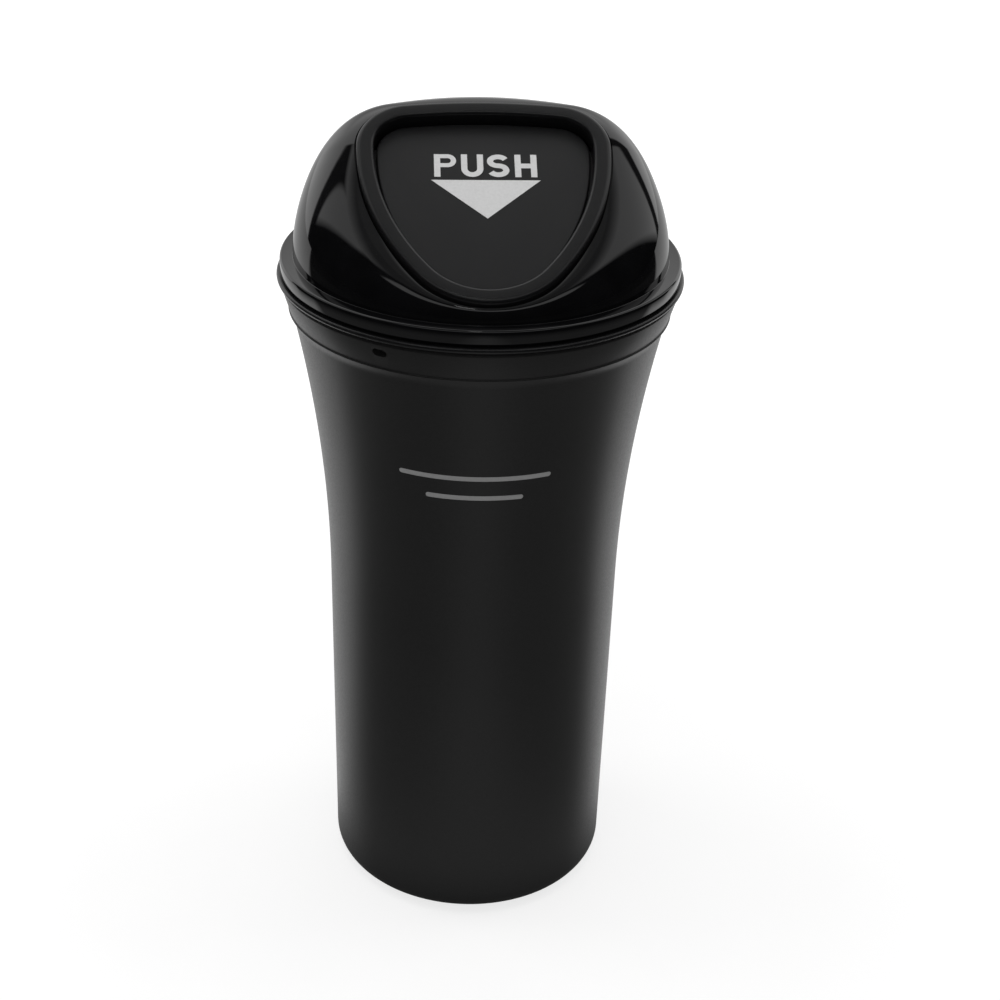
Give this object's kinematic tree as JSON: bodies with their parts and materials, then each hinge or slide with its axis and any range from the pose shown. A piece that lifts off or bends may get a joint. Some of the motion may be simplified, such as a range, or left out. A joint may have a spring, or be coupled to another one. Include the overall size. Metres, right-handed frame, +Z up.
{
  "type": "car trash bin",
  "caption": "Slim flared car bin with a removable domed lid, a liner clamping ring and a slanted sprung flap that is pushed inwards.",
  "frame": {"origin": "on the floor under the middle of the round foot", "axes": "+Z up along the bin, the flap faces -Y, +X to the right of someone who faces the flap"},
  "size_m": [0.0948, 0.0948, 0.2],
  "materials": {
    "body_plastic": "satin black polypropylene",
    "ring_plastic": "satin black polypropylene",
    "lid_plastic": "high gloss black ABS",
    "frame_plastic": "satin black ABS",
    "flap_plastic": "fine grained satin black ABS",
    "pin_steel": "drawn steel rod",
    "spring_steel": "spring steel wire"
  },
  "bodies": {
    "bin": {"bin_body": "body_plastic"},
    "ring": {"bag_ring": "ring_plastic"},
    "lid": {"lid_dome": "lid_plastic", "flap_frame": "frame_plastic", "hinge_pin": "pin_steel", "flap_spring": "spring_steel"},
    "flap": {"flap": "flap_plastic"}
  },
  "joints": [
    {"name": "ring_lift", "type": "slide", "parent": "bin", "child": "ring", "axis": [0, 0, 1], "range_m": [0, 0.02]},
    {"name": "lid_lift", "type": "slide", "parent": "ring", "child": "lid", "axis": [0, 0, 1], "range_m": [0, 0.03]},
    {"name": "flap_hinge", "type": "hinge", "parent": "lid", "child": "flap", "pos_m": [0, 0.00665, 0.1897], "axis": [1, 0, 0], "range_deg": [0, 50], "stiffness_Nm_per_rad": 0.02, "springref_deg": -20.05, "deforming": ["flap_spring"]}
  ]
}
